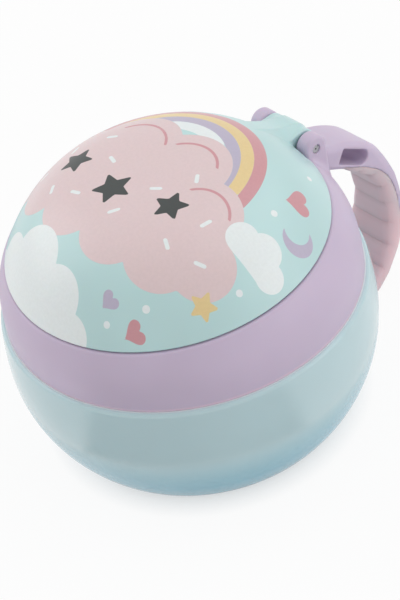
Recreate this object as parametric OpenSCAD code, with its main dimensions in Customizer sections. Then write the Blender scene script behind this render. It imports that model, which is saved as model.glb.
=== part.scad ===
// Toddler snack container: a bulged cup, a screw-on collar with a hinged domed
// lid and a side handle, and a soft insert whose flaps let a small hand in.
// Millimetres. Origin: centre of the cup's base, +Z up, +Y towards the hinge.

/* [Cup] */
// Greatest radius of the cup
cup_r = 52.1; // [51.5:0.1:52.5]
// Height of the cup's greatest radius above its base
belly_z = 30.5; // [30:0.1:31]
// Radius of the side curve below the belly
lower_curve_r = 45; // [44:0.5:46]
// Radius of the side curve above the belly
upper_curve_r = 68; // [64:1:72]
// Radius of the bottom corner
base_corner_r = 5; // [4:0.5:6]
// Thickness of the cup's wall
cup_wall = 2.2; // [1.6:0.1:2.6]
// Thickness of the cup's floor
cup_floor = 3; // [2:0.5:4]
// Height of the shoulder under the collar
shoulder_z = 42.9; // [42.5:0.1:43]
// Height of the cup's rim
rim_z = 54; // [53.5:0.1:54]

/* [Screw thread] */
// Outer radius of the cup's neck
neck_r = 44.8; // [44.4:0.1:45]
// Rise of the thread in one turn
thread_lead = 5; // [4.5:0.5:5]
// How far the thread's crest stands off its wall
thread_depth = 1.3; // [1:0.1:1.3]
// Width of the thread at its crest
thread_crest = 1.2; // [0.8:0.1:1.4]

/* [Collar] */
// Outer radius of the collar's lower edge
collar_r = 49.7; // [49.5:0.1:50]
// Height of the collar's lower edge
collar_z = 43.15; // [43.1:0.05:43.3]
// Radius of the collar's threaded bore
collar_bore_r = 46.4; // [46.3:0.1:46.6]
// How far the collar's side has drawn in at the rear of the lid's seam
shoulder_drop = 6.6; // [6.4:0.05:6.8]
// Height over which it draws in
shoulder_span = 20.45; // [20.1:0.05:20.8]
// Power of the side's curve: 2 is a parabola, more is straighter below
shoulder_power = 3; // [2.9:0.05:3.1]
// Radius of the mouth in the collar's deck
mouth_r = 33.8; // [33.8:0.1:35]

/* [Lid] */
// Radius of the lid at its seam
lid_r = 44.8; // [44.6:0.05:44.9]
// Height of the lid's seam on the lid's own axis
seam_z = 61.4; // [61.2:0.05:61.6]
// How far the lid's centre lies in front of the cup's axis
lid_forward = 1.7; // [1.5:0.05:1.9]
// Forward slope of the lid in degrees
lid_tilt = 2.8; // [2.6:0.1:3]
// Height of the dome above its seam
dome_h = 21; // [20:0.2:22]
// Power of the dome's curve: 2 is a parabola, more is flatter on top
dome_power = 3.8; // [3.4:0.1:4]
// Thickness of the lid's shell
lid_wall = 1.8; // [1.5:0.1:2]

/* [Hinge] */
// Distance of the hinge pin behind the cup's axis
hinge_y = 44; // [43.8:0.1:44.2]
// Height of the hinge pin
hinge_z = 65.9; // [65.7:0.1:66.1]
// Radius of the hinge's knuckles
knuckle_r = 3.9; // [3.8:0.1:4]
// Radius of the hinge pin
pin_r = 1.25; // [1:0.05:1.5]
// Half the width of the lid's middle knuckle
barrel_half = 6.7; // [6.5:0.1:6.8]
// Distance from the middle to the outer face of each lug
lug_outer = 11.5; // [11:0.1:12]

/* [Handle] */
// Half the width of the handle at its root
handle_half = 7.9; // [7.8:0.1:8.1]
// Half the width of the handle at its free end
handle_end_half = 11.2; // [10.8:0.1:11.4]
// Thickness of the handle at its root
handle_t = 7.5; // [7.4:0.1:7.8]
// Downward slope of the handle's root in degrees
handle_slope = 26; // [25.5:0.5:26.5]
// Radius of the handle's bend
bend_r = 30.5; // [30.3:0.1:30.7]
// Radius of the turn towards the cup
hook_r = 25.2; // [25:0.1:25.3]
// Width of the slot through the handle
slot_w = 4.7; // [4.3:0.1:4.7]
// Length of the slot
slot_l = 11.2; // [9:0.2:11.2]
// Distance between the grip's ribs
rib_pitch = 7.7; // [7:0.1:8.2]
// Height of the grip's ribs
rib_h = 0.45; // [0.2:0.05:0.6]

/* [Insert] */
// Distance from the middle to each flap's root
flap_root = 30.3; // [29.5:0.1:30.6]
// Thickness of a flap
flap_t = 1.1; // [0.9:0.1:1.1]
// Width of the slit between two flaps
slit = 0.9; // [0.6:0.1:1.2]

/* [Hidden] */
$fn = 96;

aqua = "#a9ced4";
lid_aqua = "#bcdcdd";
lilac = "#c7bace";
pink = "#d8b9c4";
steel = "#9fa3a8";
soft_white = "#eceff0";

// Longer than any piece, for cutting tools
far = 200;
// How far a cutting tool passes the face that it cuts
over = 1;
// Play round the hinge's barrel and lugs
slack = 0.35;
// Small bevel on moulded edges
bevel = 0.6;
// Play at a face where two pieces of the assembly meet
play = 0.05;

// Side of the cup
edge_round = 1.2;
lower_cx = cup_r - lower_curve_r;
upper_cx = cup_r - upper_curve_r;
base_in = lower_curve_r - base_corner_r;
base_cx = lower_cx + sqrt(pow(base_in, 2) - pow(belly_z - base_corner_r, 2));
base_angle = atan2(base_corner_r - belly_z, base_cx - lower_cx);
edge_z = shoulder_z - edge_round;
edge_in = upper_curve_r - edge_round;
edge_cx = upper_cx + sqrt(pow(edge_in, 2) - pow(edge_z - belly_z, 2));
edge_angle = atan2(edge_z - belly_z, edge_cx - upper_cx);
inner_corner_r = 6;
inner_in = lower_curve_r - cup_wall - inner_corner_r;
inner_cz = cup_floor + inner_corner_r;
inner_cx = lower_cx + sqrt(pow(inner_in, 2) - pow(belly_z - inner_cz, 2));
inner_angle = atan2(inner_cz - belly_z, inner_cx - lower_cx);
inner_top_z = shoulder_z - cup_wall;
inner_top_angle = asin((inner_top_z - belly_z) / (upper_curve_r - cup_wall));

// Thread, collar and mouth
thread_root = thread_crest + 1;
thread_base = 0.5;
thread_steps = 60;
thread_lead_in = 5;
thread_thin_end = 0.05;
thread_z = 47.5;
thread_turns = 0.9;
collar_thread_turns = 0.8;
thread_play = 1.95;
flange_z = rim_z + play;
flange_t = 1.4;
flange_r = 44.6;
flange_hole = flap_root + 0.25;
flap_edge = flap_root - 0.1;
flap_z = flange_z + 0.15;
deck_z = flange_z + flange_t + play;
deck_t = 2;
deck_top_z = deck_z + deck_t;
collar_wall = 2.2;
collar_cove = 1;
collar_uncut_z = 65;
collar_side_steps = 16;
collar_inside_steps = 6;
mouth_wall = 1.8;
mouth_top_z = 60;

// Lid and liner
seam_gap = 0.3;
liner_z = 1;
liner_t = 1.6;
liner_r = 41.6;
plug_r = mouth_r - 0.5;
plug_wall = 1.5;
plug_z = 57;
plug_uncut_z = 68;
knuckle_gap = 0.25;
pin_recess = 0.3;
lid_rim_gain = 0.3;
lid_inner_r = lid_r - lid_wall - lid_rim_gain;
lid_inner_h = dome_h - lid_wall;
dome_steps = 20;
block_front_y = 34;
flaps = 6;
flap_angle = 180 / flaps;

// Handle: a straight root, the bend, the hook and a short flat end
root_y = 50.9;
root_z = 55.95;
root_l = 6.6;
hook_angle = 60;
tail_angle = 30;
tail_r = 8;
bend_l = bend_r * (90 - handle_slope) * PI / 180;
hook_l = hook_r * hook_angle * PI / 180;
tail_l = tail_r * tail_angle * PI / 180;
bend_s = root_l;
hook_s = bend_s + bend_l;
tail_s = hook_s + hook_l;
handle_l = tail_s + tail_l;
bend_at = [root_y + root_l * cos(handle_slope), root_z - root_l * sin(handle_slope)];
bend_c = bend_at - bend_r * [sin(handle_slope), cos(handle_slope)];
hook_at = bend_c + [bend_r, 0];
hook_c = hook_at - [hook_r, 0];
tail_at = hook_c + hook_r * [cos(hook_angle), -sin(hook_angle)];
tail_c = tail_at - tail_r * [cos(hook_angle), -sin(hook_angle)];
slot_s = 4.8;
slot_shift = 0.35;
slot_turn = 7;
boss_back = 9;
boss_in_y = 47.2;
grip_s = 7.5;
core_end_s = 45;
station = 1.2;
step_l = 0.25;
root_steps = 6;
grip_steps = ceil((core_end_s - grip_s) / station);
end_steps = ceil((handle_l - core_end_s) / station) + 3;
end_r = 2.5;
end_share = 0.45;
corner_r = 2.2;
corner_share = 0.45;
corner_steps = 3;
parting_r = 0.3;

// Points along an arc, centre c, from angle a to angle b; first = 1 leaves out a point already given
function arc(c, r, a, b, first = 0, n = 12) =
    [for (i = [first:n]) let (t = a + (b - a) * i / n) c + r * [cos(t), sin(t)]];

// Outer radius of the collar at height z
function collar_side(z) =
    collar_r - shoulder_drop * pow(max(0, z - collar_z) / shoulder_span, shoulder_power);

// Dome of seam radius r and height h: its height at distance d from its axis
function dome(d, r, h) = h * (1 - pow(d / r, dome_power));
// Distance from the axis at which the dome has height z
function dome_at(z, r, h) = r * pow(1 - z / h, 1 / dome_power);

// Centre line of the handle at distance s from its root
function bend_turn(s) = handle_slope + (s - bend_s) / bend_r * 180 / PI;
function handle_heading(s) =
    s < bend_s ? handle_slope :
    s < hook_s ? bend_turn(s) :
    s < tail_s ? 90 + (s - hook_s) / hook_r * 180 / PI :
    90 + hook_angle + (s - tail_s) / tail_r * 180 / PI;
function handle_normal(s) = let (h = handle_heading(s)) [sin(h), cos(h)];
function handle_centre(s) =
    s < bend_s ? [root_y, root_z] + s * [cos(handle_slope), -sin(handle_slope)] :
    s < hook_s ? bend_c + bend_r * handle_normal(s) :
    s < tail_s ? hook_c + hook_r * handle_normal(s) :
    tail_c + tail_r * handle_normal(s);
function thickness(s) = lookup(s,
    [[0, handle_t], [9, 8.4], [15, 8.9], [19, 8.7], [24, 7.6], [29, 7], [43.6, 7.4], [51.6, 6.8],
     [59.6, 5], [handle_l, 4]]);
function half_width(s) = lookup(s,
    [[0, handle_half], [hook_s, handle_half], [handle_l, handle_end_half]]);
// Depth of the grip on the handle's side, and the ribs on its inner face
function grip_depth(s) = lookup(s, [[grip_s, 0.8], [12.5, 1.3], [17.6, 2.4], [29, 2.4], [core_end_s, 4.2]]);
function rib(s) = rib_h * (1 - cos(360 * (s - grip_s) / rib_pitch)) / 2;
// Narrowing that rounds the free end
function end_round(s) = let (d = max(0, s - handle_l + end_r) / end_r)
    end_share + (1 - end_share) * sqrt(1 - pow(d, 2));

// Half a handle section between depths a and b, with corner radii ra and rb
function section(s, a, b, ra, rb) =
    let (w = half_width(s) * end_round(s), n = corner_steps)
    concat(
        [for (i = [0:n]) let (t = 90 * i / n) [w - ra + ra * sin(t), a + ra - ra * cos(t)]],
        [for (i = [0:n]) let (t = 90 * i / n) [w - rb + rb * cos(t), b - rb + rb * sin(t)]]);
// The whole section, placed across the handle at distance s
function place(p, s) = let (q = handle_centre(s) + p.y * handle_normal(s)) [p.x, q.x, q.y];
function whole_ring(s, half) = concat(
    [for (p = half) place(p, s)],
    [for (i = [len(half) - 1:-1:0]) place([-half[i].x, half[i].y], s)]);

// Solid through a list of rings that all have the same number of points
module skin(rings) {
    n = len(rings[0]);
    last = len(rings) - 1;
    sides = [for (j = [0:last - 1], i = [0:n - 1]) let (k = (i + 1) % n)
        [j * n + i, j * n + k, (j + 1) * n + k, (j + 1) * n + i]];
    polyhedron(
        [for (ring = rings, p = ring) p],
        concat(sides, [[for (i = [n - 1:-1:0]) i], [for (i = [0:n - 1]) last * n + i]]),
        convexity = 8);
}

// Helical ridge from radius root to radius crest, starting at height z and thin at both its ends
module thread(root, crest, z, turns) {
    function rise(i) = max(thread_thin_end, min(1, i / thread_lead_in, (thread_steps - i) / thread_lead_in));
    base_half = thread_root / 2;
    wind = crest > root ? [0, 1, 2, 3] : [3, 2, 1, 0];
    skin([for (i = [0:thread_steps]) let (
            turn = turns * i / thread_steps,
            mid_z = z + thread_lead * turn,
            tip = root + (crest - root) * rise(i),
            tip_half = base_half + (thread_crest / 2 - base_half) * rise(i),
            ring = [[root, -base_half], [tip, -tip_half], [tip, tip_half], [root, base_half]])
        [for (k = wind) [ring[k].x * cos(360 * turn), ring[k].x * sin(360 * turn), mid_z + ring[k].y]]]);
}

module lid_frame() {
    translate([0, -lid_forward, seam_z]) rotate([lid_tilt, 0, 0]) children();
}

module on_hinge_axis() {
    translate([0, hinge_y, hinge_z]) rotate([0, 90, 0]) children();
}

module cup() {
    bore_r = neck_r - cup_wall;
    outer = concat(
        [[0, 0]],
        arc([base_cx, base_corner_r], base_corner_r, -90, base_angle),
        arc([lower_cx, belly_z], lower_curve_r, base_angle, 0, first = 1),
        arc([upper_cx, belly_z], upper_curve_r, 0, edge_angle, first = 1),
        arc([edge_cx, edge_z], edge_round, edge_angle, 90, first = 1),
        [[neck_r, shoulder_z], [neck_r, rim_z - bevel], [neck_r - bevel, rim_z]]);
    inner = concat(
        [[bore_r, rim_z], [bore_r, inner_top_z + bevel], [bore_r + bevel, inner_top_z]],
        arc([upper_cx, belly_z], upper_curve_r - cup_wall, inner_top_angle, 0),
        arc([lower_cx, belly_z], lower_curve_r - cup_wall, 0, inner_angle, first = 1),
        arc([inner_cx, inner_cz], inner_corner_r, inner_angle, -90, first = 1),
        [[0, cup_floor]]);
    color(aqua) {
        rotate_extrude() polygon(concat(outer, inner));
        thread(neck_r - thread_base, neck_r + thread_depth, thread_z, thread_turns);
    }
}

// The collar as turned, before the lid's seam is cut
module collar_ring() {
    side_z = collar_z + bevel;
    side_rise = (collar_uncut_z - side_z) / collar_side_steps;
    cove_z = deck_top_z + collar_cove;
    inside_drop = (collar_uncut_z - cove_z) / collar_inside_steps;
    side = [for (i = [0:collar_side_steps]) let (z = side_z + side_rise * i) [collar_side(z), z]];
    inside = [for (i = [0:collar_inside_steps]) let (z = collar_uncut_z - inside_drop * i)
        [collar_side(z) - collar_wall, z]];
    rotate_extrude() polygon(concat(
        [[collar_bore_r, collar_z], [collar_r - bevel, collar_z]],
        side,
        inside,
        [[collar_side(deck_top_z) - collar_wall - collar_cove, deck_top_z],
         [mouth_r + mouth_wall, deck_top_z], [mouth_r + mouth_wall, mouth_top_z],
         [mouth_r, mouth_top_z], [mouth_r, deck_z], [collar_bore_r, deck_z]]));
}

// The two lugs of the hinge, and the boss behind them that the handle grows from
module hinge_lugs() {
    lug_w = lug_outer - barrel_half - knuckle_gap;
    for (side = [-1, 1]) {
        translate([side * (lug_outer - lug_w / 2), 0, 0]) {
            on_hinge_axis() cylinder(h = lug_w, r = knuckle_r, center = true);
            translate([-lug_w / 2, hinge_y - knuckle_r, deck_z])
                cube([lug_w, 2 * knuckle_r, hinge_z - deck_z]);
        }
    }
    along = [cos(handle_slope), -sin(handle_slope)];
    across = [sin(handle_slope), cos(handle_slope)];
    low = [root_y, root_z] - handle_t / 2 * across;
    high = [root_y, root_z] + handle_t / 2 * across;
    front_y = hinge_y - knuckle_r;
    translate([-handle_half, 0, 0]) rotate([90, 0, 90]) linear_extrude(2 * handle_half)
        polygon([low, high, high - boss_back * along, [front_y, mouth_top_z], [front_y, deck_z],
                 [boss_in_y, deck_z], [boss_in_y, low.y]]);
}

module collar() {
    swing = knuckle_r + slack;
    color(lilac) difference() {
        union() {
            difference() {
                collar_ring();
                lid_frame() translate([-far / 2, -far / 2, 0]) cube([far, far, far]);
                on_hinge_axis() cylinder(h = 2 * (barrel_half + knuckle_gap), r = swing, center = true);
            }
            hinge_lugs();
            thread(collar_bore_r + thread_base, collar_bore_r - thread_depth, thread_z - thread_play,
                   collar_thread_turns);
        }
        on_hinge_axis() cylinder(h = 2 * (barrel_half + knuckle_gap), r = swing, center = true);
        on_hinge_axis() cylinder(h = 4 * lug_outer, r = pin_r, center = true);
    }
}

// The handle's hard core: the whole section at its root, then the outer part of it
module handle() {
    root_rings = [for (i = [0:root_steps]) let (s = (grip_s - step_l) * i / root_steps, t = thickness(s) / 2)
        whole_ring(s, section(s, -t, t, corner_r, corner_r))];
    grip_rings = [for (i = [0:grip_steps]) let (
            s = grip_s + (core_end_s - grip_s) * i / grip_steps,
            t = thickness(s) / 2,
            inner = -t + grip_depth(s))
        whole_ring(s, section(s, inner, t, parting_r, min(corner_r, (t - inner) / 2)))];
    color(lilac) difference() {
        skin(concat(root_rings, grip_rings));
        handle_slot();
    }
}

// Slot across the handle, square at the hinge's end and round at the other
module handle_slot() {
    translate([0, root_y, root_z]) rotate([-handle_slope, 0, 0]) translate([0, slot_s, slot_shift])
        rotate([-slot_turn, 0, 0]) rotate([90, 0, 90]) translate([0, 0, -far / 2]) linear_extrude(far) {
            translate([0, -slot_w / 2]) square([slot_l - slot_w / 2, slot_w]);
            translate([slot_l - slot_w / 2, 0]) circle(d = slot_w);
        }
}

// The grip: the inner part of the section, then the whole of it past the core's end
module handle_grip() {
    whole_s = core_end_s + step_l;
    function grip_ring(s, outer, outer_r) = let (inner = -thickness(s) / 2 * end_round(s) - rib(s))
        whole_ring(s, section(s, inner, outer, min(corner_r, corner_share * (outer - inner)), outer_r));
    inner_rings = [for (i = [0:grip_steps]) let (s = grip_s + (core_end_s - grip_s) * i / grip_steps)
        grip_ring(s, -thickness(s) / 2 + grip_depth(s), parting_r)];
    end_rings = [for (i = [0:end_steps]) let (
            s = whole_s + (handle_l - whole_s) * i / end_steps,
            outer = thickness(s) / 2 * end_round(s))
        grip_ring(s, outer, min(corner_r, 2 * corner_share * outer))];
    color(pink) skin(concat(inner_rings, end_rings));
}

module hinge_pin() {
    color(steel) on_hinge_axis() difference() {
        cylinder(h = 2 * (lug_outer - pin_recess), r = pin_r, center = true);
        cylinder(h = 3 * lug_outer, r = pin_r / 2, center = true);
    }
}

// Line of a dome from its top to its rim; the points crowd towards the rim, where it is steep
function dome_line(r, h) = let (rim = dome_at(seam_gap, r, h))
    [for (i = [0:dome_steps]) let (d = rim * sin(90 * i / dome_steps)) [d, dome(d, r, h)]];

module lid_shell() {
    inner = dome_line(lid_inner_r, lid_inner_h);
    mid_wall = dome_line((lid_r + lid_inner_r) / 2, (dome_h + lid_inner_h) / 2);
    notch_half = lug_outer + slack;
    post_room = knuckle_r + slack / 2;
    color(lid_aqua) difference() {
        union() {
            difference() {
                lid_frame() rotate_extrude()
                    polygon(concat(dome_line(lid_r, dome_h), [for (i = [dome_steps:-1:0]) inner[i]]));
                on_hinge_axis() cylinder(h = 2 * notch_half, r = knuckle_r + slack, center = true);
                translate([-notch_half, hinge_y - post_room, seam_z])
                    cube([2 * notch_half, 2 * post_room, hinge_z - seam_z]);
            }
            difference() {
                union() {
                    on_hinge_axis() cylinder(h = 2 * barrel_half, r = knuckle_r, center = true);
                    translate([-barrel_half, block_front_y, hinge_z - over])
                        cube([2 * barrel_half, hinge_y - block_front_y, knuckle_r + over]);
                }
                lid_frame() rotate_extrude()
                    polygon(concat(mid_wall, [[mid_wall[dome_steps].x, -far], [0, -far]]));
            }
        }
        on_hinge_axis() cylinder(h = 4 * lug_outer, r = pin_r + play, center = true);
    }
}

module lid_liner() {
    color(soft_white) {
        lid_frame() translate([0, 0, liner_z]) cylinder(h = liner_t, r = liner_r);
        difference() {
            translate([0, 0, plug_z]) cylinder(h = plug_uncut_z - plug_z, r = plug_r);
            translate([0, 0, plug_z - over]) cylinder(h = far, r = plug_r - plug_wall);
            lid_frame() translate([0, 0, liner_z + liner_t / 2]) cylinder(h = far, r = far);
        }
    }
}

module insert_flange() {
    color(soft_white) difference() {
        translate([0, 0, flange_z]) cylinder(h = flange_t, r = flange_r);
        rotate([0, 0, flap_angle]) translate([0, 0, flange_z - over])
            cylinder(h = flange_t + 2 * over, r = flange_hole / cos(flap_angle), $fn = flaps);
    }
}

module flap(k) {
    tip = slit / 2 / sin(flap_angle);
    side = (flap_edge - tip) * tan(flap_angle);
    color(soft_white) rotate([0, 0, 2 * flap_angle * (k - 1)])
        translate([0, 0, flap_z]) linear_extrude(flap_t)
            polygon([[tip, 0], [flap_edge, side], [flap_edge, -side]]);
}

cup();
collar();
handle();
handle_grip();
hinge_pin();
lid_shell();
lid_liner();
insert_flange();
flap(1);  // flap_1
flap(2);  // flap_2
flap(3);  // flap_3
flap(4);  // flap_4
flap(5);  // flap_5
flap(6);  // flap_6
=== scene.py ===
import math

import bpy
import numpy as np
from mathutils import Matrix, Vector


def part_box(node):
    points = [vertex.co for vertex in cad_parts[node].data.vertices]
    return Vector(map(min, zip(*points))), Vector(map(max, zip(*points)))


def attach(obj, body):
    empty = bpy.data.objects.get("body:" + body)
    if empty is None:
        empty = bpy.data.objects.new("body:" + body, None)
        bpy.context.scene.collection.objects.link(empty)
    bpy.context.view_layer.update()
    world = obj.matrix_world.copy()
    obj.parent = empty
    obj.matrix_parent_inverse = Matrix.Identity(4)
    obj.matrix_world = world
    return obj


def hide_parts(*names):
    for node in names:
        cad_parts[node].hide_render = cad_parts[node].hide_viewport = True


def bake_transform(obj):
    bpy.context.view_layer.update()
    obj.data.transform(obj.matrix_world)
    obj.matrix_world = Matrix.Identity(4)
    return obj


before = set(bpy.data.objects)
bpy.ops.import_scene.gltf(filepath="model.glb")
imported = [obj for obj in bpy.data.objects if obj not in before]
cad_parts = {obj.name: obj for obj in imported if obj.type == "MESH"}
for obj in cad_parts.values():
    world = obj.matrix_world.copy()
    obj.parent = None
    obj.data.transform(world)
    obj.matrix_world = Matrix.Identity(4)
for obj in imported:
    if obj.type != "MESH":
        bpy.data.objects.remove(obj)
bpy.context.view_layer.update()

# Everything below is in millimetres, in the frame of the CAD model, until a mesh or a lamp is made
MM = 0.001

# Cup
CUP_R = 52.1
BELLY_Z = 30.5
LOWER_CURVE_R = 45
UPPER_CURVE_R = 68
BASE_CORNER_R = 5
CUP_WALL = 2.2
CUP_FLOOR = 3
INNER_CORNER_R = 6
SHOULDER_Z = 42.9
EDGE_ROUND = 1.2
RIM_Z = 54
NECK_R = 44.8

# Screw thread
THREAD_LEAD = 5
THREAD_DEPTH = 1.3
THREAD_CREST = 1.2
THREAD_BASE = 0.5
THREAD_Z = 47.5
THREAD_TURNS = 0.9
COLLAR_THREAD_TURNS = 0.8
THREAD_PLAY = 1.95

# Collar
COLLAR_R = 49.7
COLLAR_Z = 43.15
COLLAR_SKIRT_Z = 42.93
COLLAR_BORE_R = 46.4
SHOULDER_DROP = 6.6
SHOULDER_SPAN = 20.45
COLLAR_WALL = 2.2
DECK_Z = 55.5
DECK_TOP_Z = 57.5
MOUTH_R = 33.8
MOUTH_WALL = 1.8
MOUTH_TOP_Z = 60

# Lid
LID_R = 44.8
SEAM_Z = 61.4
LID_FORWARD = 1.7
LID_TILT = math.radians(2.8)
DOME_H = 21
DOME_POWER = 3.8
LID_INNER_R = 42.7
LID_INNER_H = 19.2
SEAM_GAP = 0.4
LINER_Z = 1
LINER_T = 1.6
LINER_R = 41.6
PLUG_R = 33.3
PLUG_WALL = 1.5
PLUG_Z = 57

# Hinge
HINGE_Y = 44
HINGE_Z = 65.9
KNUCKLE_R = 3.9
SWING_R = 4.25
POST_ROOM = 4.075
PIN_R = 1.25
BARREL_HALF = 6.7
LUG_INNER = 6.95
LUG_OUTER = 11.5
NOTCH_HALF = 11.85
BLOCK_FRONT_Y = 34
PIN_HALF = 11.2

# Handle: a straight root, the bend, the hook and a short flat end
ROOT = (50.9, 55.95)
ROOT_L = 6.6
SLOPE = math.radians(26)
BEND_R = 30.5
HOOK_R = 25.2
HOOK_ANGLE = math.radians(60)
TAIL_R = 8
TAIL_ANGLE = math.radians(30)
HOOK_S = ROOT_L + BEND_R * (math.pi / 2 - SLOPE)
TAIL_S = HOOK_S + HOOK_R * HOOK_ANGLE
HANDLE_L = TAIL_S + TAIL_R * TAIL_ANGLE
HANDLE_HALF = 7.9
HANDLE_END_HALF = 11.2
CORNER_R = 3.8
ROOT_CORNER_R = 2.2
GRIP_S = 7.5
CORE_END_S = 45
RIB_PITCH = 7.7
RIB_H = 0.45
RIB_GROOVE = 0.15
RIB_SHIFT = 1.4
SLOT_S = 4.8
SLOT_L = 11.2
SLOT_W = 4.7
SLOT_SHIFT = 0.35
SLOT_SLOPE = SLOPE + math.radians(7)
BOSS_BACK = 9
FOOT_BACK_Y = 47.2
PILLAR_Z = 51
WALL_DEPTH = 1.7
WALL_LOW_Z = 48
WALL_HALF = 13.5

# Insert
FLAP_ROOT = 30.3
FLAP_Z = 54.2
FLAP_T = 1.1
FLAPS = 6
SLIT = 0.9

# Heights at which a finish starts to change and has changed: the cup's colour deepening towards the base,
# partly painted shade, and the collar's painted edge highlight
BASE_DEEP_AND_SHADE_START_Z, BASE_DEEP_AND_SHADE_FULL_Z = 25, 11
EDGE_HIGHLIGHT_START_Z, EDGE_HIGHLIGHT_FULL_Z = 43.9, 43.2
# Depth of the grip's ribbed skin, and the distance to ink that stands for none
INNER_SKIN = 0.6
UNPRINTED = 5


# ---------------------------------------------------------------- meshes

def area_normals(points, faces):
    """Vertex normals in which large faces count for more, so that flats next to a rounded edge stay flat."""
    normals = np.zeros_like(points)
    for size in {len(f) for f in faces}:
        group = np.array([f for f in faces if len(f) == size])
        corner = points[group]
        area = np.zeros((len(group), 3))
        for k in range(1, size - 1):
            area += np.cross(corner[:, k] - corner[:, 0], corner[:, k + 1] - corner[:, 0])
        for k in range(size):
            np.add.at(normals, group[:, k], area)
    return normals / np.maximum(np.linalg.norm(normals, axis=1, keepdims=True), 1e-12)


def mesh_object(name, points, faces, normals=None):
    """Smooth mesh from points in millimetres."""
    points = np.asarray(points, float)
    if normals is None:
        normals = area_normals(points, faces)
    mesh = bpy.data.meshes.new(name)
    mesh.from_pydata((points * MM).tolist(), [], [list(map(int, f)) for f in faces])
    mesh.update()
    mesh.shade_smooth()
    mesh.normals_split_custom_set_from_vertices(normals.tolist())
    obj = bpy.data.objects.new(name, mesh)
    bpy.context.scene.collection.objects.link(obj)
    return obj


def store(obj, name, values):
    """Keep one value per point on the mesh, for its material."""
    stored = obj.data.attributes.new(name, "FLOAT", "POINT")
    stored.data.foreach_set("value", np.asarray(values, np.float32).ravel())


def join_meshes(name, parts):
    """One object from several (points, faces) pairs."""
    points, faces, start = [], [], 0
    for part_points, part_faces in parts:
        points.append(np.asarray(part_points, float))
        faces += [tuple(i + start for i in f) for f in part_faces]
        start += len(part_points)
    return mesh_object(name, np.concatenate(points), faces)


def skin(rings, closed=False):
    """Points and faces of the surface through rings of equal length, capped or joined into a loop."""
    rings = np.asarray(rings, float)
    count, size = rings.shape[:2]
    faces = []
    for j in range(count if closed else count - 1):
        k = (j + 1) % count
        for i in range(size):
            n = (i + 1) % size
            faces.append((j * size + i, j * size + n, k * size + n, k * size + i))
    if not closed:
        faces.append(tuple(range(size - 1, -1, -1)))
        faces.append(tuple((count - 1) * size + i for i in range(size)))
    return rings.reshape(-1, 3), faces


def round_corners(loop, radii, steps=5):
    """Closed outline with rounded corners; loop is (..., corners, 2), radii has one value per corner."""
    loop = np.asarray(loop, float)
    before, after = np.roll(loop, 1, axis=-2), np.roll(loop, -1, axis=-2)
    out = []
    for k, r in enumerate(radii):
        corner = loop[..., k, :]
        if r == 0:
            out.append(corner)
            continue
        to_before, to_after = before[..., k, :] - corner, after[..., k, :] - corner
        length_b = np.linalg.norm(to_before, axis=-1, keepdims=True)
        length_a = np.linalg.norm(to_after, axis=-1, keepdims=True)
        a = corner + to_before / length_b * np.minimum(r, 0.48 * length_b)
        b = corner + to_after / length_a * np.minimum(r, 0.48 * length_a)
        for t in np.linspace(0, 1, steps + 1):
            wa, wc, wb = (1 - t) ** 2, 2 * t * (1 - t) * math.sqrt(0.5), t * t
            out.append((wa * a + wc * corner + wb * b) / (wa + wc + wb))
    return np.stack(out, axis=-2)


def arc(centre, r, start, end, steps, first=0):
    """Points of an arc, angles in radians."""
    turn = np.linspace(start, end, steps + 1)[first:]
    return np.stack([centre[0] + r * np.cos(turn), centre[1] + r * np.sin(turn)], axis=1)


def lathe(outline, segments=256):
    """Closed outline turned about Z: (points, 2), or (segments, points, 2) if it changes on the way."""
    turn = np.linspace(0, 2 * math.pi, segments, endpoint=False)
    outline = np.asarray(outline, float)
    if outline.ndim == 2:
        outline = np.broadcast_to(outline, (segments,) + outline.shape)
    r, z = outline[..., 0], outline[..., 1]
    rings = np.stack([r * np.cos(turn)[:, None], r * np.sin(turn)[:, None], z], axis=-1)
    return skin(rings[:, ::-1], closed=True)


def smooth_min(a, b, k):
    h = np.maximum(k - np.abs(a - b), 0) / k
    return np.minimum(a, b) - h * h * k / 4


def round_max(a, b, r):
    """Intersection of two fields whose common edge is rounded to radius r."""
    return np.minimum(np.maximum(a, b), -r) + np.hypot(np.maximum(a + r, 0), np.maximum(b + r, 0))


def box_field(u, v, low, high):
    """Distance outside a rectangle, negative inside."""
    du = np.abs(u - (low[0] + high[0]) / 2) - (high[0] - low[0]) / 2
    dv = np.abs(v - (low[1] + high[1]) / 2) - (high[1] - low[1]) / 2
    return np.hypot(np.maximum(du, 0), np.maximum(dv, 0)) + np.minimum(np.maximum(du, dv), 0)


def gradient(field, points, step=0.02):
    """Slope of a field at points."""
    out = np.empty_like(points)
    for axis in range(3):
        shift = np.zeros(3)
        shift[axis] = step
        out[:, axis] = (field(points + shift) - field(points - shift)) / (2 * step)
    return out


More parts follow.
